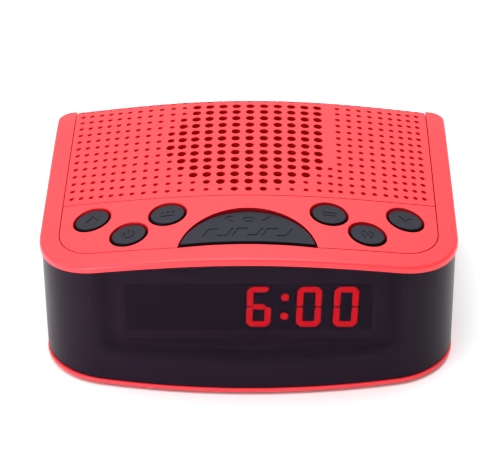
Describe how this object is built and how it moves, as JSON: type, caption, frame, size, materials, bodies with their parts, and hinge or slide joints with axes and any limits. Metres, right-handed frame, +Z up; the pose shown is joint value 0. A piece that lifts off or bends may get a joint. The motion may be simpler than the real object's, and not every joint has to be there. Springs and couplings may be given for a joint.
{
  "type": "clock radio",
  "caption": "Compact crescent-shaped clock radio with an arched red top, perforated speaker grille, round push buttons, half-moon snooze bar and a smoked wrap-round display lens.",
  "frame": {"origin": "centre of the footprint on the surface that the rubber feet stand on", "axes": "+Z up, -Y towards the listener (the display faces -Y), +X to the right seen from the front"},
  "size_m": [0.138, 0.1058, 0.0587],
  "materials": {
    "red_plastic": "satin",
    "smoked_lens": "polished",
    "black_plastic": "satin",
    "black_rubber": "matte",
    "display_face": "satin",
    "lit_red": "glowing",
    "display_dark": "satin",
    "pcb_green": "satin",
    "pcb_tan": "satin",
    "zinc_steel": "zinc plated",
    "cap_sleeve": "shrink sleeve",
    "tin_can": "tinned",
    "core_steel": "varnished",
    "winding_tape": "tape",
    "cell_sleeve": "printed sleeve, plain",
    "nickel": "nickel plated",
    "ferrite": "sintered",
    "copper_wire": "enamelled",
    "white_plastic": "satin",
    "foam": "foam",
    "paper_cone": "pressed paper",
    "button_grey": "satin",
    "plunger_white": "satin"
  },
  "bodies": {
    "cabinet": {"base_shell": "red_plastic", "top_bezel": "red_plastic", "speaker_grille": "red_plastic", "button_panel": "red_plastic", "front_lens": "smoked_lens", "rear_cover": "black_plastic", "chassis_frame": "black_plastic", "cord_bush": "black_rubber", "rubber_feet": "black_rubber", "display_housing": "black_plastic", "display_filter": "display_face", "display_segments_lit": "lit_red", "display_segments_dark": "display_dark", "display_board": "pcb_green", "display_screws": "zinc_steel", "main_board": "pcb_tan", "main_board_screws": "zinc_steel", "ic_packages": "black_plastic", "capacitors": "cap_sleeve", "tuning_coils": "tin_can", "transformer_core": "core_steel", "transformer_winding": "winding_tape", "transformer_screws": "zinc_steel", "backup_cells": "cell_sleeve", "battery_contacts": "nickel", "ferrite_rod": "ferrite", "antenna_coil": "copper_wire", "antenna_holders": "white_plastic", "speaker_gasket": "foam", "speaker_ring": "black_plastic", "speaker_basket": "core_steel", "speaker_magnet": "ferrite", "speaker_cone": "paper_cone", "speaker_screws": "zinc_steel", "button_guide": "black_plastic", "key_board": "pcb_green", "key_board_screws": "zinc_steel", "panel_screws": "zinc_steel", "case_screws": "zinc_steel", "switch_bodies": "black_plastic"},
    "push_button_1": {"button_1": "button_grey", "plunger_1": "plunger_white"},
    "push_button_2": {"button_2": "button_grey", "plunger_2": "plunger_white"},
    "push_button_3": {"button_3": "button_grey", "plunger_3": "plunger_white"},
    "push_button_4": {"button_4": "button_grey", "plunger_4": "plunger_white"},
    "push_button_5": {"button_5": "button_grey", "plunger_5": "plunger_white"},
    "push_button_6": {"button_6": "button_grey", "plunger_6": "plunger_white"},
    "snooze_bar": {"snooze_button": "button_grey", "plunger_snooze": "plunger_white"},
    "battery_lid": {"battery_door": "red_plastic"}
  },
  "joints": [
    {"name": "press_1", "type": "slide", "parent": "cabinet", "child": "push_button_1", "axis": [0, 0, -1], "range_m": [0, 0.001], "stiffness_N_per_m": 900, "springref_m": -0.0003},
    {"name": "press_2", "type": "slide", "parent": "cabinet", "child": "push_button_2", "axis": [0, 0, -1], "range_m": [0, 0.001], "stiffness_N_per_m": 900, "springref_m": -0.0003},
    {"name": "press_3", "type": "slide", "parent": "cabinet", "child": "push_button_3", "axis": [0, 0, -1], "range_m": [0, 0.001], "stiffness_N_per_m": 900, "springref_m": -0.0003},
    {"name": "press_4", "type": "slide", "parent": "cabinet", "child": "push_button_4", "axis": [0, 0, -1], "range_m": [0, 0.001], "stiffness_N_per_m": 900, "springref_m": -0.0003},
    {"name": "press_5", "type": "slide", "parent": "cabinet", "child": "push_button_5", "axis": [0, 0, -1], "range_m": [0, 0.001], "stiffness_N_per_m": 900, "springref_m": -0.0003},
    {"name": "press_6", "type": "slide", "parent": "cabinet", "child": "push_button_6", "axis": [0, 0, -1], "range_m": [0, 0.001], "stiffness_N_per_m": 900, "springref_m": -0.0003},
    {"name": "press_snooze", "type": "slide", "parent": "cabinet", "child": "snooze_bar", "axis": [0, 0, -1], "range_m": [0, 0.001], "stiffness_N_per_m": 1100, "springref_m": -0.0004},
    {"name": "door_slide", "type": "slide", "parent": "cabinet", "child": "battery_lid", "axis": [0, -1, 0], "range_m": [0, 0.008]}
  ]
}
